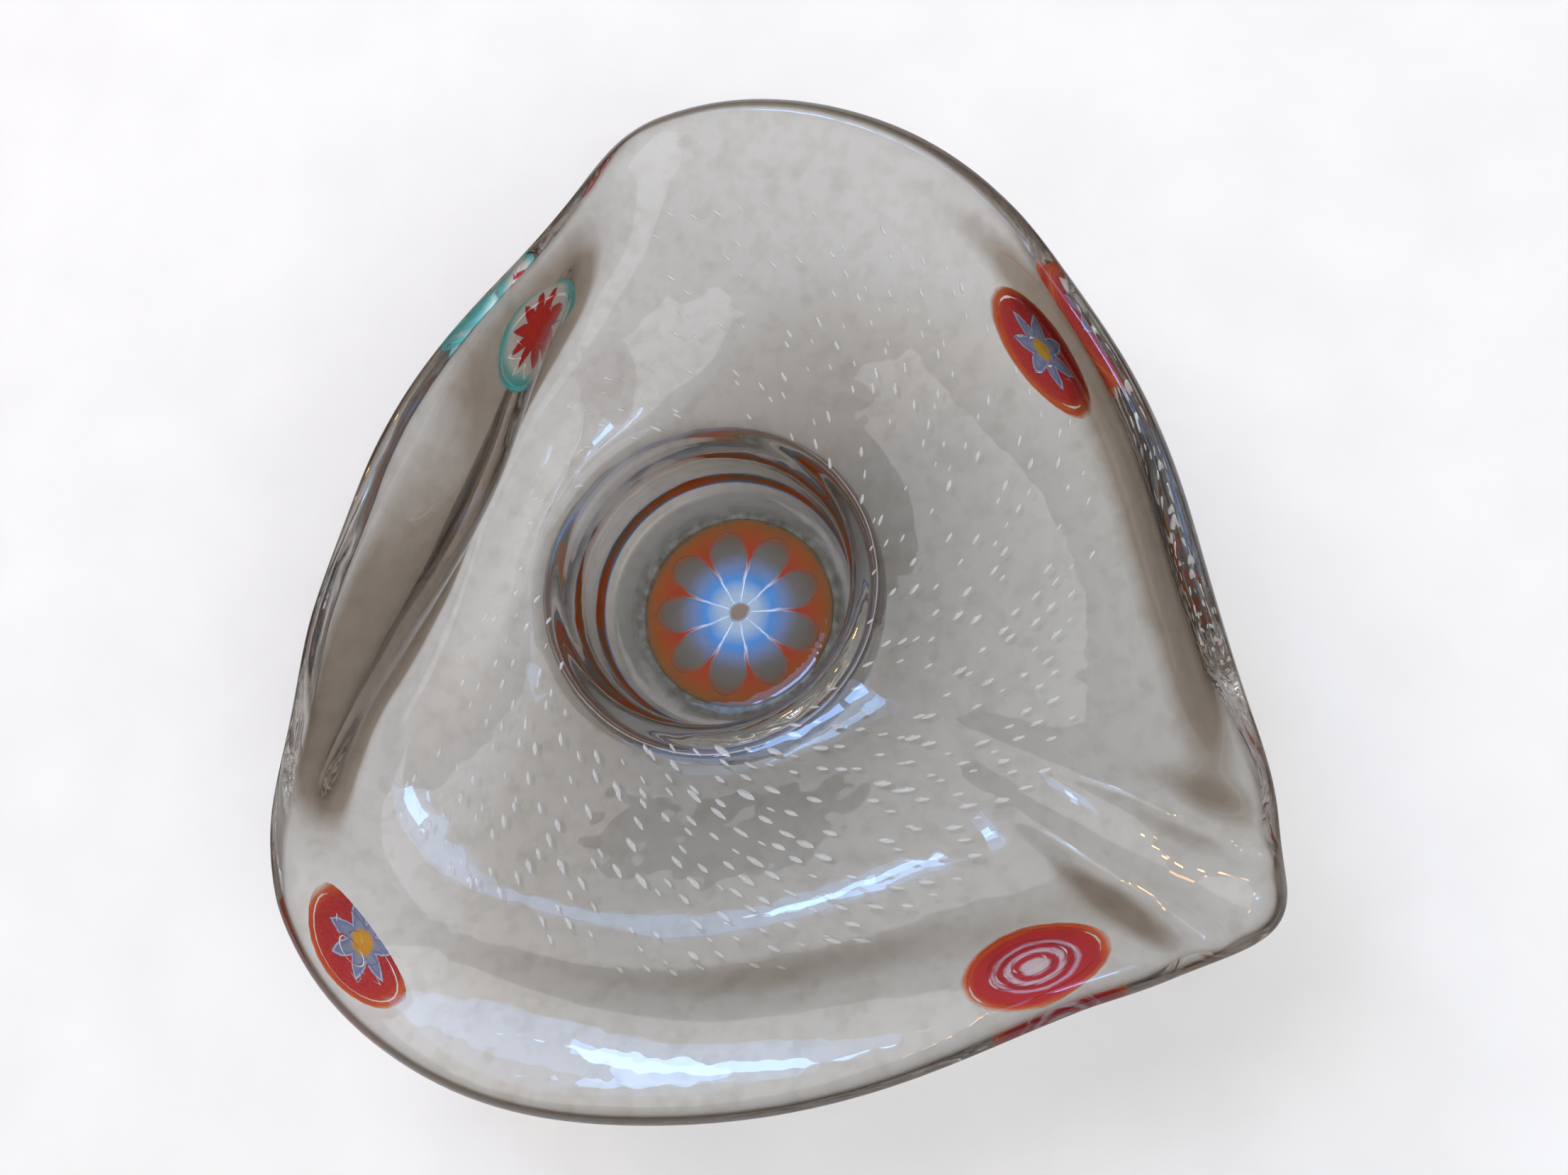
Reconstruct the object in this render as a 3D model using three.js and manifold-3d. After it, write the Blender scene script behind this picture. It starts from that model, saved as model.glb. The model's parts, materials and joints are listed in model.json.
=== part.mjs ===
// Free-form art glass bowl: a clear inner gather cased in a clear outer gather, with
// slices of patterned cane (murrine) pressed into the outside of the inner gather.
// Millimetres, +Z up. The origin is the middle of the flat ground foot.

import * as THREE from 'three';
import { mergeVertices } from 'three/addons/utils/BufferGeometryUtils.js';
import Module from 'manifold-3d';

// ---- driving dimensions ----
const bowlReach = 104.5;        // axis to the tip of the pinched spout
const bowlHeight = 69.5;        // foot to the highest point of the folded side
const turnHeight = 36.5;        // measure of how high the belly and the crest rise in the bowl
const wellRadius = 25;          // inside radius of the round well at its mouth
const wellFloorRadius = 22.4;   // radius of the well's floor
const wellTaper = 2.4;          // how far the well's wall leans out on its way up
const wellMouthHeight = 33;     // height at which the well opens into the bowl
const baseThickness = 12;       // glass under the well's floor
const footRadius = 28.5;        // outside radius above the heel of the foot
const footTaper = 0.8;          // how far the foot's side leans out on its way up
const neckRounding = 3;         // quarter round from the foot's side into the bowl
const heelRadius = 2.6;         // rounding where the foot meets the ground
const wall = 5.5;               // full thickness of the bowl's wall
const lipSwell = 0.04;          // how full the lip is above a straight line, per length of it
const curveDraw = 0.2;          // how far control points stand out, to bring the curve near them
const mouthRounding = 2.5;      // of the edge between the well and the bowl
const casingWall = 1.9;         // outer casing on the bowl's wall
const casingBase = 4.2;         // outer casing under the foot
const joint = 0.3;              // clearance between pieces that meet
const spoutAzimuth = 326.5;     // direction of the pinched corner, degrees
const grooveSpread = 4.6;       // degrees from the corner's ridge to each of its two grooves
const grooveWidth = 2.3;        // half width of a groove, degrees
const grooveDepth = 4.2;        // how far a groove dips below the ridge

const murrinaThickness = 1.5;
const murrinaSeat = 0.45;       // how far a murrina is sunk below the gather's surface
const recessClearance = 0.5;    // round and above a slice in its recess
const baseMurrinaRadius = 18;   // to the outside of the amber jacket
const baseHaloWidth = 2.8;      // grey-blue glass around that jacket
const baseMurrinaThickness = 3;
const baseMurrinaShift = 2;     // the flower sits slightly off the axis
const petalCount = 9;
const petalMargin = 2.2;        // amber left between a petal's tip and the jacket's outside
const petalDepth = 8.6;         // from a petal's tip down to the notch beside it
const flowerCoreRadius = 1.8;

// How the bowl's section changes around the axis. The belly is where the wall turns up, the
// crest is where it is steepest or, on the folded side, where it leans furthest in. Radii are
// given in hundredths of the way from the well's mouth to the spout's tip. Heights above the
// well's mouth are given in hundredths: of turnHeight for the belly and the crest, of the way
// to the highest rim for the rim.
const sides = [
  // azimuth, belly out, up, crest out, up, rim out, up
  [0, 49, 20, 59.5, 40, 66, 64],
  [29, 39.5, 16, 54, 38, 61.5, 56],
  [45, 37.5, 15, 54, 35, 65.5, 49],
  [62, 36.5, 15, 56, 31, 70, 43],
  [85, 36, 14, 57.5, 28, 72.5, 35],
  [98, 37.5, 8, 53, 26, 67, 36],
  [108, 37, 3, 43, 27, 52.5, 42],
  [118, 36, -3, 32, 28, 42, 54],
  [132, 32, -6, 20, 28, 32.5, 74],
  [148, 28, -8, 12.5, 30, 27, 90],
  [164, 27.5, -8, 11.5, 32, 26, 97],
  [180, 30, -7, 17, 32, 28, 100],
  [194, 38.5, -5, 29.5, 29, 38.5, 87],
  [204, 50, -2, 44.5, 25, 50.5, 67],
  [213, 53.5, 2, 58, 22, 68, 44],
  [225, 51, 5, 64, 21, 80, 32],
  [245, 48, 5, 57, 22, 82.5, 30],
  [270, 45.5, 4, 54.5, 23, 78, 31],
  [292, 46, 5, 56, 25, 78, 35],
  [308, 49, 8, 63, 28, 82, 43],
  [318, 54, 12, 71.5, 34, 91, 49],
  [326.5, 58.5, 15, 77.5, 36, 100, 54],
  [334, 55.5, 17, 74, 37, 91, 57],
  [346, 51.5, 19, 66, 40, 75, 61],
];

// ---- the bowl's section at any azimuth ----
const outwards = (share) => wellRadius + share * (bowlReach - wellRadius);
const upwards = (share) => wellMouthHeight + share * (bowlHeight - wellMouthHeight);
const turnUpwards = (share) => wellMouthHeight + share * turnHeight;
const at = (r, z) => new THREE.Vector3(r, 0, z);
const circle = (angle) => [Math.cos(angle), Math.sin(angle)];

function hermite(start, end, startSlope, endSlope, t) {
  const t2 = t * t;
  const t3 = t2 * t;
  return (2 * t3 - 3 * t2 + 1) * start + (t3 - 2 * t2 + t) * startSlope
    + (3 * t2 - 2 * t3) * end + (t3 - t2) * endSlope;
}

// Smooth periodic interpolation of the rows of `sides`, as shares of one.
function sideAt(azimuth) {
  const turn = ((azimuth % 360) + 360) % 360;
  const count = sides.length;
  const found = sides.findIndex((row) => row[0] > turn);
  const index = found < 0 ? count : found;
  const rows = [-2, -1, 0, 1].map((step) => sides[(index + step + count) % count]);
  const angles = [-2, -1, 0, 1].map((step) => index + step)
    .map((k) => sides[(k + count) % count][0] + 360 * Math.floor(k / count));
  const span = angles[2] - angles[1];
  const t = (turn - angles[1]) / span;
  return rows[0].slice(1).map((_, column) => {
    const [v0, v1, v2, v3] = rows.map((row) => row[column + 1]);
    const startSlope = (v2 - v0) / (angles[2] - angles[0]) * span;
    const endSlope = (v3 - v1) / (angles[3] - angles[1]) * span;
    return hermite(v1, v2, startSlope, endSlope, t) / 100;
  });
}

// A smooth even cubic curve that starts and ends on its first and last control points.
class SmoothCurve extends THREE.Curve {
  constructor(controls) {
    super();
    const [first, second] = controls;
    const [last, beforeLast] = [controls.at(-1), controls.at(-2)];
    const past = (end, next) => end.clone().multiplyScalar(2).sub(next);
    this.controls = [past(first, second), ...controls, past(last, beforeLast)];
  }

  getPoint(t) {
    const spans = this.controls.length - 3;
    const span = Math.min(Math.floor(t * spans), spans - 1);
    const s = t * spans - span;
    const weights = [(1 - s) ** 3, 3 * s ** 3 - 6 * s ** 2 + 4, -3 * s ** 3 + 3 * s ** 2 + 3 * s + 1, s ** 3];
    const point = new THREE.Vector3();
    weights.forEach((weight, k) => point.addScaledVector(this.controls[span + k], weight / 6));
    return point;
  }
}

// A control point drawn away from its neighbours, so that the smooth curve comes near it.
function drawn(before, point, after) {
  const middle = before.clone().lerp(after, 0.5);
  return point.clone().addScaledVector(point.clone().sub(middle), curveDraw);
}

// The upper surface from the well's wall to the rim, as a curve in the plane of (r, z):
// the well's mouth, a slow rise through the basin, the turn at the belly, the crest, the lip.
function upperCurve(azimuth) {
  const [bellyOut, bellyUp, crestOut, crestUp, rimOut, rimUp] = sideAt(azimuth);
  const wellWall = at(wellRadius - wellTaper / 2, (wellMouthHeight + baseThickness) / 2);
  const mouthInside = at(wellRadius, wellMouthHeight - mouthRounding);
  const mouthOutside = at(wellRadius + mouthRounding, wellMouthHeight);
  const belly = at(outwards(bellyOut), turnUpwards(bellyUp));
  const crest = at(outwards(crestOut), turnUpwards(crestUp));
  const rim = at(outwards(rimOut), upwards(rimUp));
  const basin = mouthOutside.clone().lerp(belly, 0.5);
  const slope = rim.clone().sub(crest).normalize();
  const inward = at(-slope.z, slope.x);
  const end = rim.clone().addScaledVector(slope, -wall / 2).addScaledVector(inward, wall / 2);
  const lip = crest.clone().lerp(end, 0.5).addScaledVector(inward, lipSwell * crest.distanceTo(end));
  return new SmoothCurve([
    wellWall, mouthInside, mouthOutside, basin,
    drawn(basin, belly, crest), drawn(belly, crest, lip), lip, end,
  ]);
}

const curves = new Map();
function curveAt(azimuth) {
  const key = azimuth.toFixed(4);
  if (!curves.has(key)) curves.set(key, upperCurve(azimuth));
  return curves.get(key);
}

// The two grooves that run out to the pinched corner, one each side of its ridge.
function grooveDrop(azimuth, t) {
  const turnFrom = (centre) => (((azimuth - centre) % 360) + 540) % 360 - 180;
  const bump = (centre) => Math.exp(-((turnFrom(centre) / grooveWidth) ** 2));
  const both = bump(spoutAzimuth + grooveSpread) + bump(spoutAzimuth - grooveSpread);
  return grooveDepth * both * THREE.MathUtils.smoothstep(t, 0.45, 0.75);
}

function turned(point, azimuth, drop) {
  const angle = THREE.MathUtils.degToRad(azimuth);
  return new THREE.Vector3(point.x * Math.cos(angle), point.x * Math.sin(angle), point.z - drop);
}

// A point in the wall: t runs along the upper curve, lift is the distance above the under surface.
function wallPoint(azimuth, t, lift) {
  const curve = curveAt(azimuth);
  const tangent = curve.getTangent(t);
  const inward = at(-tangent.z, tangent.x);
  const point = curve.getPoint(t).addScaledVector(inward, lift - wall);
  return turned(point, azimuth, grooveDrop(azimuth, t));
}

// A point past the end of the upper curve, in the rounding of the rim.
function rimPoint(azimuth, lift, beyond) {
  const curve = curveAt(azimuth);
  const tangent = curve.getTangent(1);
  const inward = at(-tangent.z, tangent.x);
  const point = curve.getPoint(1).addScaledVector(inward, lift - wall).addScaledVector(tangent, beyond);
  return turned(point, azimuth, grooveDrop(azimuth, 1));
}

// How far the half round of the rim stands past the end of the upper curve at a lift.
const rimBulge = (lift) => Math.sqrt(Math.max(0, (wall / 2) ** 2 - (lift - wall / 2) ** 2));

// A point in the foot and the well, between a place on the upper and one on the under surface.
function basePoint(azimuth, upper, under, lift) {
  const up = upper.clone().sub(under);
  return turned(under.clone().addScaledVector(up.clone().normalize(), Math.min(lift, up.length())), azimuth, 0);
}

// ---- the two clear shells ----
// Pairs of points on the upper and the under surface, from the axis to just past the neck,
// where the under surface turns from the foot's side into the bowl in a quarter round.
function footRings(azimuth) {
  const curve = curveAt(azimuth);
  const heelInside = footRadius - heelRadius;
  const neckRadius = footRadius + footTaper;
  const neck = (degrees) => {
    const [cos, sin] = circle(THREE.MathUtils.degToRad(degrees));
    return at(neckRadius + neckRounding * (1 - cos), wellMouthHeight - wall - neckRounding * (1 - sin));
  };
  return [
    [at(wellFloorRadius * 0.55, baseThickness), at(heelInside * 0.55, 0)],
    [at(wellFloorRadius, baseThickness + 0.3), at(heelInside, 0)],
    [at(wellFloorRadius + 2.2, baseThickness + 2.6), at(footRadius, heelRadius)],
    [curve.getPoint(0), at(neckRadius, wellMouthHeight * 0.4)],
    [curve.getPoint(1 / 7), neck(0)],
    [curve.getPoint(1.5 / 7), neck(45)],
    [curve.getPoint(2 / 7), neck(90)],
  ];
}
const wallRings = [2.6, 3.2, 3.8, 4.3, 4.7, 5.1, 5.6, 6.3, 7].map((seventh) => seventh / 7);
const full = Infinity;

// Azimuths of the mesh's sections: narrow steps where the bowl is pinched or its fold begins
// and ends, wide ones elsewhere. Each row is where a step's stretch begins, and the step.
function sectionAzimuths() {
  const pinch = spoutAzimuth - 16;
  const stretches = [[pinch - 360, 2], [pinch - 328, 6.5], [94, 3], [139, 6.5], [191, 3], [221, 6.5], [pinch, 0]];
  return stretches.slice(0, -1).flatMap(([from, step], k) => {
    const span = stretches[k + 1][0] - from;
    const count = Math.round(span / step);
    return Array.from({ length: count }, (_, i) => from + i * span / count);
  });
}

// One surface of a shell at an azimuth, from the axis to the rim.
function surfaceRings(azimuth, baseLift, wallLift) {
  const mix = THREE.MathUtils.lerp;
  const foot = footRings(azimuth);
  const liftOf = (step) => (wallLift === full ? full : mix(baseLift, wallLift, step / foot.length));
  const rings = foot.map(([upper, under], k) => basePoint(azimuth, upper, under, liftOf(k)));
  const lift = wallLift === full ? wall : wallLift;
  wallRings.forEach((t) => rings.push(wallPoint(azimuth, t, lift)));
  const rounded = lift === wall || lift === 0;
  const shoulder = wall * (lift === 0 ? 0.5 - Math.SQRT1_2 / 2 : 0.5 + Math.SQRT1_2 / 2);
  const [endLift, share] = rounded ? [shoulder, 1] : [lift, 0.6];
  rings.push(rimPoint(azimuth, endLift, share * rimBulge(endLift)));
  return rings;
}

// A closed shell between two lifts, which meet in one edge round the rim.
function shell(low, high, edgeLift) {
  const azimuths = sectionAzimuths();
  const sections = azimuths.map((azimuth) => [
    ...surfaceRings(azimuth, high.base, high.wall),
    rimPoint(azimuth, edgeLift, rimBulge(edgeLift)),
    ...surfaceRings(azimuth, low.base, low.wall).reverse(),
  ]);
  const poleHigh = new THREE.Vector3(0, 0, Math.min(high.base, baseThickness));
  const poleLow = new THREE.Vector3(0, 0, low.base);
  const rings = sections[0].length;
  const points = sections.flat();
  const top = points.push(poleHigh) - 1;
  const bottom = points.push(poleLow) - 1;
  const faces = [];
  sections.forEach((_, k) => {
    const here = k * rings;
    const next = ((k + 1) % sections.length) * rings;
    faces.push([top, here, next], [bottom, next + rings - 1, here + rings - 1]);
    for (let ring = 0; ring < rings - 1; ring += 1) {
      const [a, b, c, d] = [here + ring, here + ring + 1, next + ring + 1, next + ring];
      // both surfaces are split along the same diagonals, so that two shells nest
      if (ring < (rings - 1) / 2) faces.push([a, b, c], [a, c, d]);
      else faces.push([a, b, d], [b, c, d]);
    }
  });
  return solid(points, faces);
}

// ---- closed meshes and cuts ----
function solid(points, faces) {
  const indexed = new THREE.BufferGeometry();
  indexed.setAttribute('position', new THREE.Float32BufferAttribute(points.flatMap((p) => [p.x, p.y, p.z]), 3));
  const outward = signedVolume(points, faces) > 0;
  indexed.setIndex(faces.flatMap(([a, b, c]) => (outward ? [a, b, c] : [a, c, b])));
  const merged = mergeVertices(indexed);
  const kept = [];
  for (let k = 0; k < merged.index.count; k += 3) {
    const [a, b, c] = [0, 1, 2].map((step) => merged.index.getX(k + step));
    if (a !== b && b !== c && c !== a) kept.push(a, b, c);
  }
  merged.setIndex(kept);
  return merged;
}

function signedVolume(points, faces) {
  const cross = new THREE.Vector3();
  return faces.reduce((sum, [a, b, c]) => sum + points[a].dot(cross.crossVectors(points[b], points[c])), 0) / 6;
}

const wasm = await Module();
wasm.setup();

function toManifold(geometry) {
  const vertProperties = new Float32Array(geometry.attributes.position.array);
  const triVerts = new Uint32Array(geometry.index.array);
  return new wasm.Manifold(new wasm.Mesh({ numProp: 3, vertProperties, triVerts }));
}

function cutFrom(geometry, tools) {
  let rest = toManifold(geometry);
  tools.forEach((tool) => { rest = rest.subtract(toManifold(tool)); });
  const mesh = rest.getMesh();
  const cut = new THREE.BufferGeometry();
  cut.setAttribute('position', new THREE.BufferAttribute(mesh.vertProperties, 3));
  cut.setIndex(new THREE.BufferAttribute(mesh.triVerts, 1));
  return cut;
}

// ---- slices of cane ----
// A plate between two lifts. outline(i, j) gives its points in the slice's own plane: i goes
// round (or across), j goes from the inside to the outside, and place() sets them in the glass.
function plate({ round, across, closed, outline, low, high, place }) {
  const columns = closed ? round : round + 1;
  const points = [];
  for (const lift of [low, high]) {
    for (let i = 0; i < columns; i += 1) {
      for (let j = 0; j <= across; j += 1) {
        const [x, y] = outline(i, j);
        points.push(place(x, y, lift));
      }
    }
  }
  const id = (level, i, j) => level * columns * (across + 1) + (i % columns) * (across + 1) + j;
  const faces = [];
  const quad = (a, b, c, d) => faces.push([a, b, c], [a, c, d]);
  for (let i = 0; i < round; i += 1) {
    for (let j = 0; j < across; j += 1) {
      quad(id(0, i, j), id(0, i + 1, j), id(0, i + 1, j + 1), id(0, i, j + 1));
      quad(id(1, i, j), id(1, i, j + 1), id(1, i + 1, j + 1), id(1, i + 1, j));
    }
    quad(id(0, i, 0), id(1, i, 0), id(1, i + 1, 0), id(0, i + 1, 0));
    quad(id(0, i, across), id(0, i + 1, across), id(1, i + 1, across), id(1, i, across));
  }
  if (!closed) {
    for (let j = 0; j < across; j += 1) {
      quad(id(0, 0, j + 1), id(1, 0, j + 1), id(1, 0, j), id(0, 0, j));
      quad(id(0, round, j), id(1, round, j), id(1, round, j + 1), id(0, round, j + 1));
    }
  }
  return solid(points, faces);
}

// A layer of a slice between two outlines, each a function of the angle giving its radius in
// shares of the slice's half length and half width. An inner outline of zero closes the middle.
function layer({ half, inner, outer, low, high, place, round, across = 1 }) {
  const outline = (i, j) => {
    const angle = i / round * 2 * Math.PI;
    const share = THREE.MathUtils.lerp(inner(angle), outer(angle), j / across);
    const [x, y] = circle(angle);
    return [x * half.x * share, y * half.y * share];
  };
  return plate({ round, across, closed: true, outline, low, high, place });
}

const even = (share) => () => share;

// A star outline: straight flanks between tips and notches.
function star(points, tip, notch) {
  return (angle) => {
    const phase = angle / (2 * Math.PI) * points;
    const flank = Math.abs((phase - Math.floor(phase)) * 2 - 1);
    return THREE.MathUtils.lerp(notch, tip, flank);
  };
}

const gatherSkin = casingWall + joint;       // lift of the inner gather's outside
const sliceLow = gatherSkin + murrinaSeat;
const sliceHigh = sliceLow + murrinaThickness;

// Place in the bowl's wall: x along the rim, y across it towards the rim, from a slice's centre.
// rimMargin is the plain glass between the slice and where the rim's rounding starts.
function onWall({ azimuth, rimMargin, width }) {
  const centre = rimMargin + width / 2;
  const spot = (turn, distance, lift) => {
    const curve = curveAt(turn);
    if (distance <= 0) return rimPoint(turn, lift, -distance);
    return wallPoint(turn, curve.getUtoTmapping(1 - distance / curve.getLength()), lift);
  };
  const here = spot(azimuth, centre, sliceLow);
  const degree = spot(azimuth + 1, centre, sliceLow).sub(here);
  const outward = spot(azimuth, centre - 1, sliceLow).sub(here);
  // lines of equal distance from the rim don't cross the bowl's sections squarely
  const crossing = degree.angleTo(outward);
  return (x, y, lift) => {
    const turn = azimuth + (x - y / Math.tan(crossing)) / degree.length();
    return spot(turn, centre - y / Math.sin(crossing) / outward.length(), lift);
  };
}

const inBase = (x, y, lift) => {
  const [shiftX, shiftY] = circle(THREE.MathUtils.degToRad(spoutAzimuth)).map((c) => c * baseMurrinaShift);
  return new THREE.Vector3(x + shiftX, y + shiftY, lift);
};

// ---- pieces ----
const clear = { color: '#d6d3cc', roughness: 0.05, metalness: 0 };
const amber = { color: '#b3561b', roughness: 0.25, metalness: 0 };
const crimson = { color: '#9c1420', roughness: 0.25, metalness: 0 };
const scarlet = { color: '#b3180f', roughness: 0.25, metalness: 0 };
const paleBlue = { color: '#8f9dc0', roughness: 0.25, metalness: 0 };
const yellow = { color: '#dda01c', roughness: 0.25, metalness: 0 };
const white = { color: '#e6edf4', roughness: 0.25, metalness: 0 };
const turquoise = { color: '#3aa7b8', roughness: 0.25, metalness: 0 };
const lilac = { color: '#d9c9e6', roughness: 0.25, metalness: 0 };
const opalBlue = { color: '#86a9ea', roughness: 0.25, metalness: 0 };
const smoke = { color: '#7c8885', roughness: 0.3, metalness: 0 };
const tan = { color: '#a39383', roughness: 0.3, metalness: 0 };

const bowl = new THREE.Group();

function add(name, geometry, finish) {
  const mesh = new THREE.Mesh(geometry, new THREE.MeshStandardMaterial(finish));
  mesh.name = name;
  geometry.computeVertexNormals();
  bowl.add(mesh);
}

// A slice's place along the rim and below it, its size along and across the rim, and the
// number of points round its outline.
const slices = {
  upper_left_murrina: { azimuth: 125, rimMargin: 5.5, length: 25, width: 9, round: 40 },
  upper_right_murrina: { azimuth: 29, rimMargin: 4, length: 27, width: 10.5, round: 28 },
  lower_left_murrina: { azimuth: 228.8, rimMargin: 0.5, length: 24.5, width: 8.6, round: 28 },
  lower_right_murrina: { azimuth: 309.5, rimMargin: 0.8, length: 23, width: 11.2, round: 24 },
};
const halfOf = ({ length, width }) => ({ x: length / 2, y: width / 2 });

// The nested layers of one wall slice, from the outside in. Each layer's inner outline is the
// next one's outer outline and the clearance.
function wallSlice(name, layers) {
  const { round } = slices[name];
  const half = halfOf(slices[name]);
  const place = onWall(slices[name]);
  const slit = joint / half.y;
  layers.forEach(([part, finish, outer], k) => {
    const next = layers[k + 1];
    const inner = next ? (angle) => next[2](angle) + slit : even(0);
    add(`${name}_${part}`, layer({ half, inner, outer, low: sliceLow, high: sliceHigh, place, round }), finish);
  });
}

// The recess in the inner gather that holds a wall slice, open on the gather's outside.
function wallRecess(slice) {
  const { x, y } = halfOf(slice);
  const half = { x: x + recessClearance, y: y + recessClearance };
  const low = casingWall / 2;
  const high = sliceHigh + recessClearance;
  const { round } = slice;
  return layer({ half, inner: even(0), outer: even(1), low, high, place: onWall(slice), round, across: 4 });
}

wallSlice('upper_left_murrina', [
  ['jacket', turquoise, even(1)],
  ['field', white, even(0.84)],
  ['star', scarlet, star(10, 0.68, 0.36)],
]);
wallSlice('upper_right_murrina', [
  ['jacket', amber, even(1)],
  ['field', crimson, even(0.82)],
  ['star', paleBlue, star(7, 0.58, 0.3)],
  ['core', yellow, even(0.2)],
]);
wallSlice('lower_left_murrina', [
  ['jacket', amber, even(1)],
  ['field', crimson, even(0.84)],
  ['star', paleBlue, star(7, 0.58, 0.3)],
  ['core', yellow, even(0.22)],
]);
wallSlice('lower_right_murrina', [
  ['jacket', amber, even(1)],
  ['field', crimson, even(0.86)],
  ['outer_ring', lilac, even(0.56)],
  ['red_band', crimson, even(0.46)],
  ['inner_ring', lilac, even(0.34)],
  ['core', white, even(0.2)],
]);

// The flower under the well's floor: a grey-blue halo, an amber jacket, petals and a core.
const flowerLow = casingBase + joint + murrinaSeat;
const flowerHigh = flowerLow + baseMurrinaThickness;
const flower = { low: flowerLow, high: flowerHigh, place: inBase, half: { x: 1, y: 1 } };
const haloRadius = baseMurrinaRadius + baseHaloWidth;
const petalAngle = 2 * Math.PI / petalCount;
const petalSteps = 6;

// Distance from the flower's centre to a petal's rounded end; side runs from -1 to 1 across it.
const petalNotch = baseMurrinaRadius - petalMargin - petalDepth;
const petalEnd = (side) => petalNotch + petalDepth * Math.sqrt(1 - side * side);

function flowerOutline(angle) {
  const turn = angle / petalAngle;
  const side = (turn - Math.floor(turn + 1e-9)) * 2 - 1;
  return petalEnd(THREE.MathUtils.clamp(side, -1, 1)) + joint;
}

function petal(index) {
  const across = 1;
  const outline = (i, j) => {
    const side = i / petalSteps * 2 - 1;
    const radius = THREE.MathUtils.lerp(flowerCoreRadius + joint, petalEnd(side), j / across);
    const angle = (index + 0.5) * petalAngle + side * (petalAngle / 2 - joint / 2 / radius);
    return circle(angle).map((c) => c * radius);
  };
  return plate({ round: petalSteps, across, closed: false, outline, ...flower });
}

const haloInner = even(baseMurrinaRadius + joint);
const flowerRound = petalCount * petalSteps;
add('base_murrina_halo', layer({ ...flower, inner: haloInner, outer: even(haloRadius), round: 36 }), smoke);
add('base_murrina_jacket', layer({
  ...flower, inner: flowerOutline, outer: even(baseMurrinaRadius), round: flowerRound,
}), amber);
for (let k = 0; k < petalCount; k += 1) add(`base_murrina_petal_${k + 1}`, petal(k), opalBlue);
add('base_murrina_core', layer({ ...flower, inner: even(0), outer: even(flowerCoreRadius), round: 12 }), tan);

const baseRecess = layer({
  ...flower, inner: even(0), outer: even(haloRadius + recessClearance), round: 36,
  low: casingBase / 2, high: flowerHigh + recessClearance,
});

const gather = shell(
  { base: casingBase + joint, wall: gatherSkin },
  { base: full, wall: full },
  gatherSkin,
);
const recesses = Object.values(slices).map(wallRecess);
add('inner_gather', cutFrom(gather, [baseRecess, ...recesses]), clear);
add('outer_casing', shell({ base: 0, wall: 0 }, { base: casingBase, wall: casingWall }, casingWall), clear);

export default bowl;
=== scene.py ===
# %% [markdown]
# # A free-form glass bowl with cane slices
# The real bowl was blown from two gathers of clear glass, with slices of patterned cane and rows
# of air bubbles caught between them, then swung and pinched into shape while it was soft.
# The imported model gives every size, so the frame is loaded first and its box is kept.

import json
import math
import random

import bpy
from mathutils import Matrix, Vector
from mathutils.bvhtree import BVHTree

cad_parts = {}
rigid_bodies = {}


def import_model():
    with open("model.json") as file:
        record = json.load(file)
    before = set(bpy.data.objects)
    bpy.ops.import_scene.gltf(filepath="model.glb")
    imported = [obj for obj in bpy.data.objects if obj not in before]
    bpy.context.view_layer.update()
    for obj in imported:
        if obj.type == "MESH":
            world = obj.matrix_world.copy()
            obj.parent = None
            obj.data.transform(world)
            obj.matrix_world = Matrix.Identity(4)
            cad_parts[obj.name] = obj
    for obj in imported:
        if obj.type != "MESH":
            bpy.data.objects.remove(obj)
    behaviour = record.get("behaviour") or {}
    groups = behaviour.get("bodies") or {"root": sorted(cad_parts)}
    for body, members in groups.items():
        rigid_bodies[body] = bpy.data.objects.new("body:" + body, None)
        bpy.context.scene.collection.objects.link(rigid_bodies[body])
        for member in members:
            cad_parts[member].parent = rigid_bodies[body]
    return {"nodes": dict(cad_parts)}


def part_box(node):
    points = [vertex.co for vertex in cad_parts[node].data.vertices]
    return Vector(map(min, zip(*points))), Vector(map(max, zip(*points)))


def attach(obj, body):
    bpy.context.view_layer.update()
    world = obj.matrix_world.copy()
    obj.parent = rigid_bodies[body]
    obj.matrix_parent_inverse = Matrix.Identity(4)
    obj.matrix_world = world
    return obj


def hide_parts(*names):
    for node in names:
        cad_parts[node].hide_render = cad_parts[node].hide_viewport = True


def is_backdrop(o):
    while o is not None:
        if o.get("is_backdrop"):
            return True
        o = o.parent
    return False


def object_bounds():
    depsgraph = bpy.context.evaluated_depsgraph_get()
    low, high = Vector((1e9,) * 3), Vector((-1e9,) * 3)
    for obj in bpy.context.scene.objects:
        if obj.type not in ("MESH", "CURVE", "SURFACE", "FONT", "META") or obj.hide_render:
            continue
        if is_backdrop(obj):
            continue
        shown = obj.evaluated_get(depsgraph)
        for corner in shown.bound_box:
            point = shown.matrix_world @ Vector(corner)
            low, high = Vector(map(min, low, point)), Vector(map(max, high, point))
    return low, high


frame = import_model()
cad_low, cad_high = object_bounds()
nodes = frame["nodes"]
print("CAD box", [round(c, 4) for c in (*cad_low, *cad_high)], "with", len(nodes), "nodes")

# %% [markdown]
# ## The camera
# The bowl is seen almost straight down, a little from the side of the pinched corner, as by
# someone standing over it. The camera's own axes are given as vectors: the way it looks and the
# way its right-hand side points. The third axis follows from those two.

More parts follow.
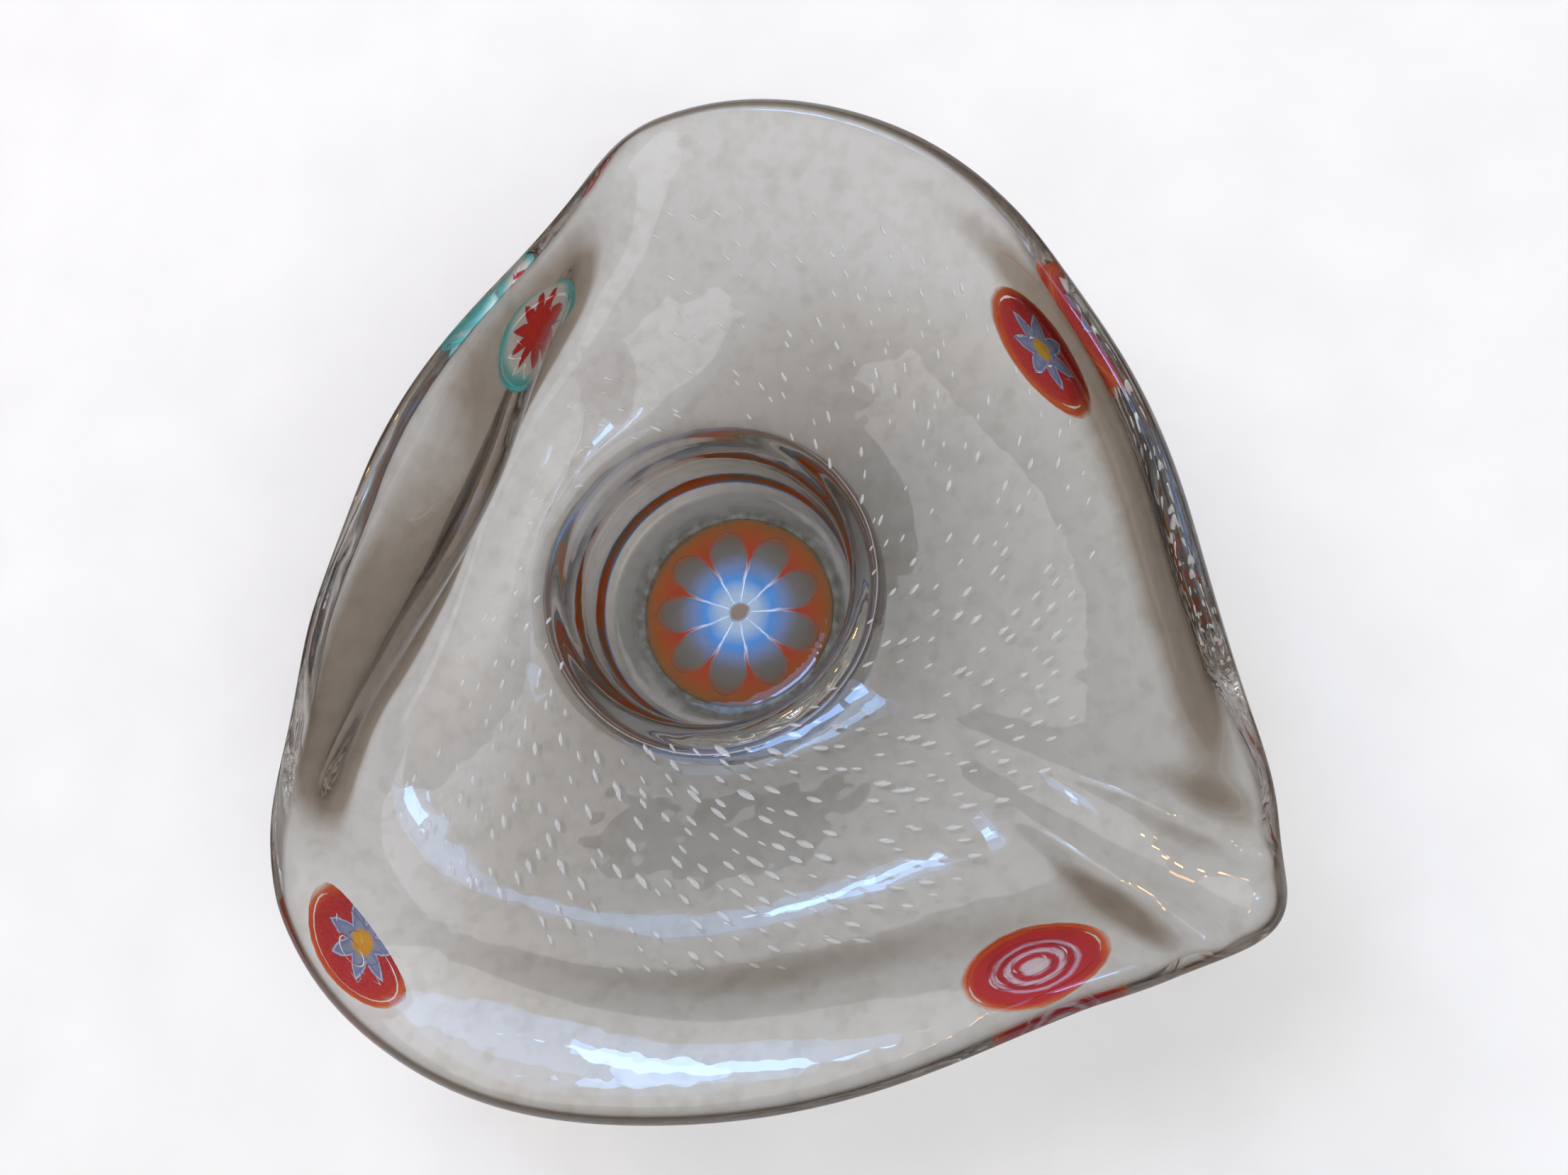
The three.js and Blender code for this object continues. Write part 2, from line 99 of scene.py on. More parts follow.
# %% Camera
scene = bpy.context.scene
camera_data = bpy.data.cameras.new("camera")
camera_data.sensor_width = 36
camera_data.lens = 32.55
camera = bpy.data.objects.new("camera", camera_data)
camera.location = (0.0525, -0.0592, 0.2626)
forward = Vector((-0.16017, 0.23636, -0.95837))
right = Vector((0.98632, 0, -0.16484))
turn = Matrix((right, right.cross(forward), -forward)).transposed()
camera.rotation_euler = turn.to_euler()
scene.collection.objects.link(camera)
scene.camera = camera
print("camera at", tuple(camera.location))

# %% [markdown]
# ## Two helpers for working on objects
# An operator acts on everything that is selected, as it does for a person at the screen. So each
# step starts from an empty selection, and then picks the one piece it works on.

# %% Selecting
def deselect_all():
    """Leaves nothing selected."""
    bpy.ops.object.select_all(action="DESELECT")


def activate(piece):
    """Selects one piece alone and makes it the one that operators work on."""
    deselect_all()
    piece.select_set(True)
    bpy.context.view_layer.objects.active = piece


# %% [markdown]
# ## Two helpers for materials
# A material is a small graph of nodes. Colours are written as people write them, in sRGB hex, but
# shaders work in linear light, so one function turns the one into the other. Another adds a node,
# sets its values and links its inputs, so each finish below reads as a list of what it is made of.

# %% Colours and nodes
def linear(hex_colour):
    """An sRGB hex colour as the linear colour that shaders take."""
    channels = [int(hex_colour[i:i + 2], 16) / 255 for i in (1, 3, 5)]
    straight = [c / 12.92 if c <= 0.04045 else ((c + 0.055) / 1.055) ** 2.4 for c in channels]
    return (*straight, 1.0)


def add_node(owner, kind, settings=None, stops=(), **inputs):
    """Adds a node to a material or a world.

    Settings are the node's own properties. Inputs are values, hex colours or sockets to link,
    named for their sockets or numbered, as in _0. Stops are a ramp's (place, hex colour) pairs.
    """
    node = owner.node_tree.nodes.new(kind)
    for key, value in (settings or {}).items():
        setattr(node, key, value)
    for key, value in inputs.items():
        socket = node.inputs[int(key[1:]) if key[1:].isdigit() else key.replace("_", " ")]
        if isinstance(value, bpy.types.NodeSocket):
            owner.node_tree.links.new(value, socket)
        else:
            socket.default_value = linear(value) if isinstance(value, str) else value
    while stops and len(node.color_ramp.elements) < len(stops):
        node.color_ramp.elements.new(0.5)
    for number, (place, colour) in enumerate(stops):
        node.color_ramp.elements[number].position = place
        node.color_ramp.elements[number].color = linear(colour)
    return node


def new_material(name):
    """An empty node material and its output node."""
    material = bpy.data.materials.new(name)
    material.use_nodes = True
    material.node_tree.nodes.clear()
    return material, material.node_tree.nodes.new("ShaderNodeOutputMaterial")


# %% [markdown]
# ## The floor
# A board painted matt off-white with a roller, which leaves a faint mottle. It lies a hair under
# the foot: two faces in exactly the same plane would fight, and the glass above would go black.

# %% Floor
floor_gap = 0.0002
deselect_all()
bpy.ops.mesh.primitive_plane_add(size=30, location=(0, 0, cad_low[2] - floor_gap))
floor = bpy.context.object
floor.name = "floor"
floor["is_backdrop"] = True

floor_paint, output = new_material("matt painted board")
board = add_node(floor_paint, "ShaderNodeTexCoord").outputs["Object"]
speckle = add_node(floor_paint, "ShaderNodeTexNoise", Scale=40.0, Detail=3.0, Vector=board)
shade = add_node(floor_paint, "ShaderNodeValToRGB", stops=[(0.3, "#e9e8e6"), (0.7, "#eeedeb")],
                 Fac=speckle.outputs["Fac"])
paint = add_node(floor_paint, "ShaderNodeBsdfPrincipled", Base_Color=shade.outputs["Color"], Roughness=0.7)
floor_paint.node_tree.links.new(paint.outputs["BSDF"], output.inputs["Surface"])
floor.data.materials.append(floor_paint)
print("floor at", round(floor.location.z, 4))

# %% [markdown]
# ## The sky
# Glass shows its shape by what it bends and mirrors. An evenly white room would make it vanish,
# so the sky is a soft dome that grows darker towards the horizon. That draws the dark edges.

# %% Sky
world = bpy.data.worlds.new("soft sky")
world.use_nodes = True
direction = add_node(world, "ShaderNodeTexCoord").outputs["Generated"]
height = add_node(world, "ShaderNodeSeparateXYZ", Vector=direction).outputs["Z"]
dome = add_node(world, "ShaderNodeValToRGB", stops=[(0.04, "#aaa6a0"), (0.55, "#f4f4f4")], Fac=height)
background = world.node_tree.nodes["Background"]
background.inputs["Strength"].default_value = 0.5
world.node_tree.links.new(dome.outputs["Color"], background.inputs["Color"])
scene.world = world
print("sky strength", background.inputs["Strength"].default_value)

# %% [markdown]
# ## The lights
# Two wide soft panels light the floor. They don't show in reflections, or they would veil the
# glass. A small cool window with pale sky around it does show, and makes the glass look polished.
# Three small warm lamps add a few sparks.

# %% Lights
def panel(name, place, towards, size, power, colour):
    """A soft rectangular light at place, facing a point."""
    light = bpy.data.lights.new(name, "AREA")
    light.shape = "RECTANGLE"
    light.size, light.size_y = size
    light.energy = power
    light.color = linear(colour)[:3]
    lamp = bpy.data.objects.new(name, light)
    lamp.location = place
    lamp.rotation_euler = (Vector(towards) - Vector(place)).to_track_quat("-Z", "Y").to_euler()
    scene.collection.objects.link(lamp)
    return lamp


for name, place, power in (("soft panel", (-0.5, 0.8, 1.4), 16), ("soft panel 2", (0.8, -0.7, 1.3), 14)):
    fill = panel(name, place, (0, 0, 0), (1.4, 1.2), power, "#f8f9ff")
    fill.visible_glossy = False

basin = (0.02, -0.04, 0.03)
panel("window", (-0.40, 0.46, 1.15), basin, (0.13, 0.07), 0.45, "#8fc0ff")
panel("pale sky behind the window", (-0.37, 0.54, 1.2), basin, (0.30, 0.28), 0.75, "#8cbcff")

lamp_target = (0.03, -0.03, 0.03)
for number, place in enumerate([(-0.9, 0.8, 0.85), (-0.74, 1.0, 0.9), (-1.05, 0.62, 0.8)]):
    panel(f"warm lamp {number + 1}", place, lamp_target, (0.05, 0.03), 0.5, "#ffb45e")

# %% [markdown]
# ## How the light is followed
# A ray in thick glass is bent or mirrored many times before it leaves. If it is given up too
# early the glass shows black, so all the limits that matter here are raised together.

# %% Light paths
most_bounces = 32
scene.view_settings.view_transform = "Standard"
scene.cycles.max_bounces = most_bounces
scene.cycles.transmission_bounces = most_bounces
scene.cycles.glossy_bounces = most_bounces
print("a ray may turn", scene.cycles.max_bounces, "times")

# %% [markdown]
# ## The clear glass
# The CAD model keeps the two gathers apart so that each is a solid of its own. In the real bowl
# they are fused, and light sees only the outside. So both are copied. A copy's triangles come
# loose, each with corners of its own, and are merged before anything else is done to it.

# %% Copies and search trees
def tree_of(piece):
    """A search tree of a piece's faces, to ask what lies in front of a point."""
    mesh = piece.data
    return BVHTree.FromPolygons([v.co for v in mesh.vertices], [p.vertices for p in mesh.polygons])


def copy_of(node, name):
    """A copy of a CAD node with a mesh of its own, its loose triangles merged."""
    piece = bpy.data.objects.new(name, nodes[node].data.copy())
    piece.data.materials.clear()
    scene.collection.objects.link(piece)
    activate(piece)
    bpy.ops.object.mode_set(mode="EDIT")
    bpy.ops.mesh.select_all(action="SELECT")
    bpy.ops.mesh.remove_doubles(threshold=1e-6)
    bpy.ops.mesh.select_mode(type="FACE")
    bpy.ops.mesh.select_all(action="DESELECT")
    bpy.ops.object.mode_set(mode="OBJECT")
    return piece


# %% [markdown]
# ## Only what the air touches
# Where the gathers meet, each has a face that looks at the other across a narrow gap. A ray sent
# out from each face finds them: if it strikes the partner first, within about the wall's
# thickness, the face is inside the real glass and is deleted. Little cups are left over where the
# slices sit. They aren't joined to the skin, so keeping what is linked to its largest face drops them.

# %% Open skins
partner_reach = 0.0062
face_offset = 1e-5


def open_skin(node, partner, name):
    """The part of a gather's surface that doesn't face its partner."""
    skin = copy_of(node, name)
    near = tree_of(nodes[partner])
    own = tree_of(nodes[node])
    for face in skin.data.polygons:
        start = face.center + face.normal * face_offset
        to_partner = near.ray_cast(start, face.normal, partner_reach)[3]
        to_self = own.ray_cast(start, face.normal, partner_reach)[3]
        face.select = to_partner is not None and (to_self is None or to_partner < to_self)
    bpy.ops.object.mode_set(mode="EDIT")
    bpy.ops.mesh.delete(type="FACE")
    bpy.ops.object.mode_set(mode="OBJECT")
    largest = max(skin.data.polygons, key=lambda face: face.area)
    largest.select = True
    bpy.ops.object.mode_set(mode="EDIT")
    bpy.ops.mesh.select_linked()
    bpy.ops.mesh.select_all(action="INVERT")
    bpy.ops.mesh.delete(type="FACE")
    bpy.ops.object.mode_set(mode="OBJECT")
    print(name, len(skin.data.polygons), "faces")
    return skin


outside = open_skin("outer_casing", "inner_gather", "outside skin")
inside = open_skin("inner_gather", "outer_casing", "inside skin")

# %% [markdown]
# ## One closed body
# The two skins each end in one open edge at the rim. Joined into one object, those edges are
# bridged, which closes the body. The triangles are paired into quads first, because a subdivision
# surface follows quads much more evenly, and then rounds the facets into blown glass.

# %% Join at the rim
activate(outside)
inside.select_set(True)
bpy.ops.object.join()
glass_body = outside
glass_body.name = "bowl_glass"
bpy.ops.object.mode_set(mode="EDIT")
bpy.ops.mesh.select_mode(type="EDGE")
bpy.ops.mesh.select_all(action="DESELECT")
bpy.ops.mesh.select_non_manifold()
bpy.ops.mesh.bridge_edge_loops()
bpy.ops.mesh.select_all(action="SELECT")
bpy.ops.mesh.tris_convert_to_quads(face_threshold=1.2, shape_threshold=2.0)
bpy.ops.mesh.normals_make_consistent(inside=False)
bpy.ops.object.mode_set(mode="OBJECT")
print("before smoothing", len(glass_body.data.polygons), "faces, of which quads",
      sum(len(f.vertices) == 4 for f in glass_body.data.polygons))

smoothing = glass_body.modifiers.new("smoothing", "SUBSURF")
smoothing.levels = smoothing.render_levels = 2
bpy.ops.object.modifier_apply(modifier="smoothing")
bpy.ops.object.shade_smooth()
print("bowl_glass", len(glass_body.data.polygons), "faces")

# %% [markdown]
# ## What glass does to light
# Some of the light that meets glass is mirrored and the rest goes on, bent. The share is Fresnel's:
# little when the glass is met squarely, nearly all at a grazing slant. Mixing the two by hand, and
# not with one ready-made glass shader, lets the bent part be tinted while the mirrored part stays white.

# %% Glass mix
def glass_mix(material, output, ior, tint, **surface):
    """Light bends through a tinted share of the surface and is mirrored by the rest."""
    bent = add_node(material, "ShaderNodeBsdfRefraction", IOR=ior, Roughness=0.0, Color=tint, **surface)
    mirrored = add_node(material, "ShaderNodeBsdfAnisotropic", Roughness=0.0, Color="#ffffff", **surface)
    share = add_node(material, "ShaderNodeFresnel", IOR=ior, **surface)
    mix = add_node(material, "ShaderNodeMixShader", _0=share.outputs["Fac"],
                   _1=bent.outputs["BSDF"], _2=mirrored.outputs["BSDF"])
    material.node_tree.links.new(mix.outputs["Shader"], output.inputs["Surface"])
    return mix


# %% [markdown]
# ## Fire-polished soda glass
# Soda glass from a small furnace bends light by an index of 1.5. It is bright where it is looked
# through squarely and brown-grey where the wall turns steep, so the tint follows the slant. This is
# partly the glass's own tint over a longer sight line and partly painted shade, for the darker
# surroundings that the steep bands bend and mirror. The foot's thick wall is met steeply all round and
# would go too dark, so the tint is held back near the axis. The flame leaves slow waves, about 14 mm
# apart, and the batch a faint cloudiness, drawn here in spots of about 4 mm so that it shows.

# %% Clear glass
glass_ior = 1.5
foot_edge, wall_start = 0.027, 0.036
foot_share, wall_share = 0.3, 1.0

clear_glass, output = new_material("clear soda glass")
place = add_node(clear_glass, "ShaderNodeTexCoord").outputs["Object"]
waves = add_node(clear_glass, "ShaderNodeTexNoise", Scale=70.0, Detail=2.0, Vector=place)
skin = add_node(clear_glass, "ShaderNodeBump", Strength=0.35, Distance=0.0006,
                Height=waves.outputs["Fac"]).outputs["Normal"]
slant = add_node(clear_glass, "ShaderNodeLayerWeight", Blend=0.5, Normal=skin).outputs["Facing"]
level = add_node(clear_glass, "ShaderNodeVectorMath", {"operation": "MULTIPLY"},
                 _0=place, _1=(1.0, 1.0, 0.0)).outputs[0]
from_axis = add_node(clear_glass, "ShaderNodeVectorMath", {"operation": "LENGTH"}, _0=level).outputs["Value"]
share = add_node(clear_glass, "ShaderNodeMapRange", Value=from_axis,
                 _1=foot_edge, _2=wall_start, _3=foot_share, _4=wall_share).outputs["Result"]
# Painted shade: the glass goes darker and browner where it is seen at a slant, partly its own tint over a
# longer path.
sightline_and_shade = add_node(clear_glass, "ShaderNodeMath", {"operation": "MULTIPLY"}, _0=slant, _1=share).outputs[0]
tint = add_node(clear_glass, "ShaderNodeValToRGB", Fac=sightline_and_shade, stops=[
    (0.06, "#ebebea"), (0.17, "#e2e1df"), (0.29, "#a99e92"), (0.55, "#978c81"), (0.85, "#80766c")])
cloud = add_node(clear_glass, "ShaderNodeTexNoise", Scale=260.0, Detail=6.0, Vector=place)
dimming = add_node(clear_glass, "ShaderNodeValToRGB", Fac=cloud.outputs["Fac"],
                   stops=[(0.34, "#f8f7f5"), (0.5, "#ffffff")])
cloudy = add_node(clear_glass, "ShaderNodeMix", {"data_type": "RGBA", "blend_type": "MULTIPLY"},
                  _0=1.0, _6=tint.outputs["Color"], _7=dimming.outputs["Color"])
glass_mix(clear_glass, output, glass_ior, cloudy.outputs[2], Normal=skin)
grey = add_node(clear_glass, "ShaderNodeVolumeAbsorption", Color="#bfb8ae", Density=8.0)
clear_glass.node_tree.links.new(grey.outputs["Volume"], output.inputs["Volume"])

glass_body.data.materials.append(clear_glass)
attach(glass_body, "root")
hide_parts("inner_gather", "outer_casing")
print(clear_glass.name, "has", len(clear_glass.node_tree.nodes), "nodes")

# %% [markdown]
# ## The slices of cane
# Each slice is cut from a rod of coloured glass built up in layers, so the same pattern runs
# right through it. The layers are fused, and their colours meet softly. Every layer keeps its own
# piece, and one pattern in the slice's own coordinates colours them all, so the joins don't show.
# Those coordinates need the slice's axes. The two points of its jacket that lie furthest apart
# give its length, and its field's upward faces give the way it faces.

# %% The axes of a slice
def slice_names(prefix):
    """The nodes of one slice's layers."""
    return [name for name in nodes if name.startswith(prefix)]


def main_axes(prefix):
    """The middle of a slice, and its half length and half width as vectors."""
    outer = [v.co for v in nodes[prefix + "_jacket"].data.vertices]
    centre = sum(outer, Vector()) / len(outer)
    far = max(outer, key=lambda p: (p - centre).length)
    opposite = max(outer, key=lambda p: (p - far).length)
    middle = (far + opposite) / 2
    along = (far - opposite) / 2
    upward = [face for face in nodes[prefix + "_field"].data.polygons if face.normal.z > 0]
    normal = sum((face.normal * face.area for face in upward), Vector()).normalized()
    across = normal.cross(along).normalized()
    return middle, along, across * max(abs((p - middle).dot(across)) for p in outer)


# %% [markdown]
# ## Fusing the layers
# The CAD model leaves 0.3 mm between two layers. Each copy is grown by nearly half of that, until
# it all but meets its neighbours. Then it gets a map, whose two coordinates run from -1 to 1
# along and across the whole slice, and not just its own layer.

# %% A grown and mapped copy
layer_growth = 0.00013


def fused_copy(node, middle, along, across):
    """A copy of one layer, grown until it meets its neighbours, with the slice's map on it."""
    piece = copy_of(node, node + "_cane")
    bpy.ops.object.mode_set(mode="EDIT")
    bpy.ops.mesh.select_all(action="SELECT")
    bpy.ops.transform.shrink_fatten(value=layer_growth)
    bpy.ops.object.mode_set(mode="OBJECT")
    maps = piece.data.uv_layers
    slice_map = maps[0] if maps else maps.new(name="slice map")
    slice_map.name = "slice map"
    for loop in piece.data.loops:
        offset = piece.data.vertices[loop.vertex_index].co - middle
        slice_map.data[loop.index].uv = (offset.dot(along) / along.length_squared,
                                         offset.dot(across) / across.length_squared)
    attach(piece, "root")
    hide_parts(node)
    return piece


# %% [markdown]
# ## Round coordinates
# Stars, rings and petals are drawn by their distance from the middle and their turn about it. The
# map is first pushed about a little by a noise, because pulled cane is never quite regular.

# %% Radius and turn
ragged_by = 0.09


def polar(material):
    """The slice's map, and the radius and turn of a slightly ragged copy of it."""
    spot = add_node(material, "ShaderNodeUVMap", {"uv_map": "slice map"}).outputs["UV"]
    ragged = add_node(material, "ShaderNodeTexNoise", Scale=4.0, Detail=3.0, Vector=spot).outputs["Color"]
    shift = add_node(material, "ShaderNodeVectorMath", {"operation": "MULTIPLY_ADD"}, _0=ragged,
                     _1=(ragged_by, ragged_by, 0.0), _2=(-ragged_by / 2, -ragged_by / 2, 0.0)).outputs[0]
    moved = add_node(material, "ShaderNodeVectorMath", {"operation": "ADD"}, _0=spot, _1=shift).outputs[0]
    parts = add_node(material, "ShaderNodeSeparateXYZ", Vector=moved).outputs
    radius = add_node(material, "ShaderNodeVectorMath", {"operation": "LENGTH"}, _0=moved).outputs["Value"]
    turn = add_node(material, "ShaderNodeMath", {"operation": "ARCTAN2"}, _0=parts[1], _1=parts[0])
    return spot, radius, turn.outputs[0]


# %% [markdown]
# ## The finish that all cane shares
# Coloured glass held inside clear glass has no shine of its own, so it is satin with a weak
# reflection. It thins out at the slice's edge. Clear glass gathers light and pipes it to the
# cane, which is costly to trace, so a small glow of the cane's own colour stands for it.

# %% Cane finish
def cane_finish(material, output, colour, radius, fade=(0.9, 1.0), glow=0.12):
    """Satin coloured glass that fades out between two radii."""
    edge = add_node(material, "ShaderNodeValToRGB", Fac=radius,
                    stops=[(fade[0], "#ffffff"), (fade[1], "#000000")]).outputs["Color"]
    body = add_node(material, "ShaderNodeBsdfPrincipled", Base_Color=colour, Roughness=0.45, Alpha=edge,
                    Specular_IOR_Level=0.15, Emission_Color=colour, Emission_Strength=glow)
    material.node_tree.links.new(body.outputs["BSDF"], output.inputs["Surface"])


# %% [markdown]
# ## Cane with a star
# The maker presses hot glass into a star-shaped mould and dips it in the next colour. So the star
# has straight flanks, which a ping-pong of the turn gives, a thin pale line where the two colours
# meet, and sometimes a core. A fine pale haze lies over all of it.

# %% Star cane
def star_cane(name, points, field, star, core, tip=0.62, notch=0.3, glow=0.12):
    """Field colours go by the radius, and the star's by the distance inside its edge."""
    material, output = new_material(name)
    spot, radius, turn = polar(material)
    steps = add_node(material, "ShaderNodeMath", {"operation": "MULTIPLY_ADD"},
                     _0=turn, _1=points / math.pi, _2=0.0).outputs[0]
    flank = add_node(material, "ShaderNodeMath", {"operation": "PINGPONG"}, _0=steps, _1=1.0).outputs[0]
    star_edge = add_node(material, "ShaderNodeMath", {"operation": "MULTIPLY_ADD"},
                         _0=flank, _1=tip - notch, _2=notch).outputs[0]
    gap = add_node(material, "ShaderNodeMath", {"operation": "SUBTRACT"}, _0=star_edge, _1=radius).outputs[0]
    inside = add_node(material, "ShaderNodeMath", {"operation": "ADD"}, _0=gap, _1=0.5).outputs[0]
    ground = add_node(material, "ShaderNodeValToRGB", stops=field, Fac=radius).outputs["Color"]
    figure = add_node(material, "ShaderNodeValToRGB", stops=star, Fac=inside).outputs["Color"]
    in_star = add_node(material, "ShaderNodeValToRGB", stops=[(0.485, "#000000"), (0.51, "#ffffff")],
                       Fac=inside).outputs["Color"]
    colour = add_node(material, "ShaderNodeMix", {"data_type": "RGBA"},
                      _0=in_star, _6=ground, _7=figure).outputs[2]
    if core:
        core_colour, core_radius = core
        in_core = add_node(material, "ShaderNodeValToRGB", Fac=radius,
                           stops=[(core_radius * 0.8, "#ffffff"), (core_radius * 1.15, "#000000")])
        colour = add_node(material, "ShaderNodeMix", {"data_type": "RGBA"},
                          _0=in_core.outputs["Color"], _6=colour, _7=core_colour).outputs[2]
    grain = add_node(material, "ShaderNodeTexNoise", Scale=26.0, Detail=4.0, Vector=spot).outputs["Fac"]
    haze = add_node(material, "ShaderNodeValToRGB", stops=[(0.35, "#000000"), (0.8, "#5a5a5a")], Fac=grain)
    colour = add_node(material, "ShaderNodeMix", {"data_type": "RGBA"},
                      _0=haze.outputs["Color"], _6=colour, _7="#e9c9c4").outputs[2]
    cane_finish(material, output, colour, radius, glow=glow)
    return material


# %% [markdown]
# ## The three starred slices
# Two are red with a pale blue, white-edged star and a yellow core, in an amber jacket. The third
# lies in the fold, behind more glass than the others: a ragged red star on white, in turquoise.

# %% Starred slices
red_field = [(0.0, "#e0202a"), (0.6, "#d81a26"), (0.76, "#dc2c1c"), (0.88, "#f06a18"), (1.0, "#f09440")]
blue_star = [(0.5, "#2b4490"), (0.53, "#f0f6ff"), (0.58, "#7c98d8"), (0.75, "#a4b4d4")]
white_field = [(0.0, "#f2f7fb"), (0.7, "#f4fbff"), (0.84, "#7fe0ea"), (1.0, "#4fcbd8")]
red_star = [(0.5, "#9a5aa6"), (0.54, "#d8241c"), (0.8, "#e0281a")]
canes = {
    "upper_left_murrina": star_cane(
        "white cane with a red star", 10, white_field, red_star, None, tip=0.66, notch=0.34, glow=0.4),
    "upper_right_murrina": star_cane(
        "amber cane with a blue star", 7, red_field, blue_star, ("#f2c420", 0.17)),
    "lower_left_murrina": star_cane(
        "amber cane with a white-edged star", 7, red_field, blue_star, ("#ffbe14", 0.2)),
}
print("star canes:", [finish.name for finish in canes.values()])

# %% [markdown]
# ## The ringed slice
# This rod was only dipped, in crimson and white by turns, so its colours go by the radius alone.

# %% Ringed slice
ringed, output = new_material("crimson cane with white rings")
spot, radius, turn = polar(ringed)
rings = add_node(ringed, "ShaderNodeValToRGB", Fac=radius, stops=[
    (0.0, "#ffffff"), (0.17, "#f4f0ff"), (0.22, "#d83048"), (0.3, "#d83048"), (0.34, "#f6ecff"),
    (0.38, "#f6ecff"), (0.43, "#d0203a"), (0.5, "#d0203a"), (0.55, "#ecd8f4"), (0.6, "#d82a40"),
    (0.82, "#dc3028"), (0.9, "#f06420"), (1.0, "#f8a048")]).outputs["Color"]
cane_finish(ringed, output, rings, radius)
canes["lower_right_murrina"] = ringed
print(ringed.name)

# %% [markdown]
# ## The flower's outline
# Nine round-ended petals stand side by side. Across a petal, side runs from 0 at its middle to 1
# at the seam with the next, and half an ellipse over it gives how far out the petal reaches.

# %% Petal outline
petals = 9
petal_round, petal_notch = 0.478, 0.40

flower, output = new_material("amber cane with an opal flower")
spot, radius, turn = polar(flower)
steps = add_node(flower, "ShaderNodeMath", {"operation": "MULTIPLY_ADD"},
                 _0=turn, _1=petals / math.pi, _2=0.0).outputs[0]
wave = add_node(flower, "ShaderNodeMath", {"operation": "PINGPONG"}, _0=steps, _1=1.0).outputs[0]
side = add_node(flower, "ShaderNodeMath", {"operation": "SUBTRACT"}, _0=1.0, _1=wave).outputs[0]
square = add_node(flower, "ShaderNodeMath", {"operation": "MULTIPLY"}, _0=side, _1=side).outputs[0]
rest = add_node(flower, "ShaderNodeMath", {"operation": "SUBTRACT"}, _0=1.0, _1=square).outputs[0]
bow = add_node(flower, "ShaderNodeMath", {"operation": "SQRT"}, _0=rest).outputs[0]
petal_end = add_node(flower, "ShaderNodeMath", {"operation": "MULTIPLY_ADD"},
                     _0=bow, _1=petal_round, _2=petal_notch).outputs[0]
gap = add_node(flower, "ShaderNodeMath", {"operation": "SUBTRACT"}, _0=petal_end, _1=radius).outputs[0]
inside = add_node(flower, "ShaderNodeMath", {"operation": "ADD"}, _0=gap, _1=0.5).outputs[0]
print(petals, "petals, from", petal_notch, "to", round(petal_notch + petal_round, 3), "of the radius")

# %% [markdown]
# ## The flower's colours
# Opal glass scatters blue light back and lets the rest through. The petals are bright blue-white
# where they are thick and smoke grey towards their tips. Near the core a white skin parts them.

# %% Petals in amber
opal = add_node(flower, "ShaderNodeValToRGB", Fac=radius, stops=[
    (0.0, "#d8e8ff"), (0.2, "#c4e0ff"), (0.36, "#5aa8ff"), (0.48, "#7f98cc"),
    (0.62, "#7b7878"), (0.86, "#6f6250")]).outputs["Color"]
seam = add_node(flower, "ShaderNodeValToRGB", stops=[(0.86, "#000000"), (0.98, "#ffffff")], Fac=side)
near_core = add_node(flower, "ShaderNodeValToRGB", stops=[(0.4, "#ffffff"), (0.62, "#000000")], Fac=radius)
seam_share = add_node(flower, "ShaderNodeMath", {"operation": "MULTIPLY"},
                      _0=seam.outputs["Color"], _1=near_core.outputs["Color"]).outputs[0]
opal = add_node(flower, "ShaderNodeMix", {"data_type": "RGBA"},
                _0=seam_share, _6=opal, _7="#f2f8ff").outputs[2]
amber = add_node(flower, "ShaderNodeValToRGB", Fac=radius, stops=[
    (0.3, "#d03c00"), (0.7, "#b83a00"), (0.9, "#a85400"), (1.0, "#7c6030")]).outputs["Color"]
in_petal = add_node(flower, "ShaderNodeValToRGB", stops=[(0.44, "#000000"), (0.58, "#ffffff")],
                    Fac=inside).outputs["Color"]
colour = add_node(flower, "ShaderNodeMix", {"data_type": "RGBA"}, _0=in_petal, _6=amber, _7=opal).outputs[2]
in_core = add_node(flower, "ShaderNodeValToRGB", stops=[(0.08, "#ffffff"), (0.12, "#000000")],
                   Fac=radius).outputs["Color"]
colour = add_node(flower, "ShaderNodeMix", {"data_type": "RGBA"},
                  _0=in_core, _6=colour, _7="#a39383").outputs[2]
cane_finish(flower, output, colour, radius, fade=(0.97, 1.0), glow=0.3)
print(flower.name, "has", len(flower.node_tree.nodes), "nodes")

# %% [markdown]
# ## The flower's halo
# Round the amber the clear glass is clouded grey-blue by fine seeds, and clears towards its edge.
# The map's radius passes 1 there, beyond what a ramp can read, so it is scaled down first.

# %% Halo
halo_scale = 0.8
halo, output = new_material("grey-blue haloed glass")
spot, radius, turn = polar(halo)
grain = add_node(halo, "ShaderNodeTexNoise", Scale=9.0, Detail=6.0, Vector=spot).outputs["Fac"]
grainy = add_node(halo, "ShaderNodeValToRGB", Fac=grain,
                  stops=[(0.35, "#7d7868"), (0.5, "#989b94"), (0.65, "#b4bab8")]).outputs["Color"]
rim = add_node(halo, "ShaderNodeMath", {"operation": "MULTIPLY"}, _0=radius, _1=halo_scale).outputs[0]
cane_finish(halo, output, grainy, rim, fade=(0.80, 0.93))
print(halo.name)

# %% [markdown]
# ## Laying the finishes on the slices
# The wall slices lie askew, so their axes are worked out from their meshes. The flower lies level
# and is round, so its jacket's box is enough.

# %% Wall slices
for prefix, finish in canes.items():
    middle, along, across = main_axes(prefix)
    for node in slice_names(prefix):
        piece = fused_copy(node, middle, along, across)
        piece.data.materials.append(finish)
    print(prefix, "half length and width", round(along.length * 1000, 1), round(across.length * 1000, 1))

# %% [markdown]
# The flower's twelve layers share one map, and only the halo has a finish of its own.

